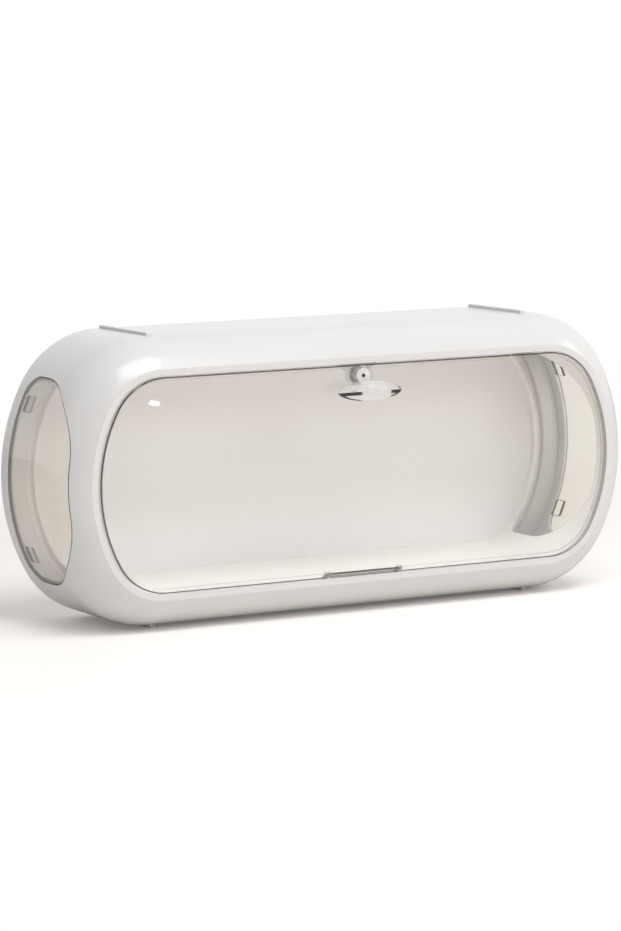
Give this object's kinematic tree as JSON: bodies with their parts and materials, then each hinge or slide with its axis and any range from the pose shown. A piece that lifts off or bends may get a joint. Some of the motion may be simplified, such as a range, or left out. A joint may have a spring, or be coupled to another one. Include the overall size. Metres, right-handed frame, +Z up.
{
  "type": "display case",
  "caption": "Wide display case with rounded ends, curved clear end windows and a clear drop-down front door held shut by a magnet catch.",
  "frame": {"origin": "middle of the box round the whole case, at the level of the foot pads' undersides", "axes": "+X along the case to its right end seen from the front, +Y from the door to the back, +Z up"},
  "size_m": [0.34, 0.087, 0.1505],
  "materials": {
    "shell_white": "glossy",
    "cover_white": "satin",
    "liner_white": "satin",
    "rail_white": "glossy",
    "clear_window": "clear",
    "clear_door": "clear",
    "clear_pull": "clear",
    "clear_cap": "clear",
    "clear_tab": "clear",
    "clear_bracket": "clear",
    "clear_pin": "clear",
    "magnet_nickel": "bright",
    "screw_steel": "satin",
    "pad_rubber": "matt"
  },
  "bodies": {
    "case": {"shell": "shell_white", "rear_cover": "cover_white", "cover_screws": "screw_steel", "floor_panel": "liner_white", "ceiling_panel": "liner_white", "left_end_wall": "liner_white", "right_end_wall": "liner_white", "left_window": "clear_window", "right_window": "clear_window", "catch_tab": "clear_tab", "case_magnet": "magnet_nickel", "tab_screws": "screw_steel", "hinge_bracket": "clear_bracket", "hinge_screws": "screw_steel", "hinge_pin": "clear_pin", "left_top_rail": "rail_white", "right_top_rail": "rail_white", "left_foot_rail": "rail_white", "right_foot_rail": "rail_white", "foot_pads": "pad_rubber"},
    "door": {"door_panel": "clear_door", "door_magnet": "magnet_nickel", "magnet_cap": "clear_cap", "finger_pull": "clear_pull"}
  },
  "joints": [
    {"name": "door_hinge", "type": "hinge", "parent": "case", "child": "door", "pos_m": [0, -0.03425, 0.0221], "axis": [1, 0, 0], "range_deg": [0, 90]}
  ]
}
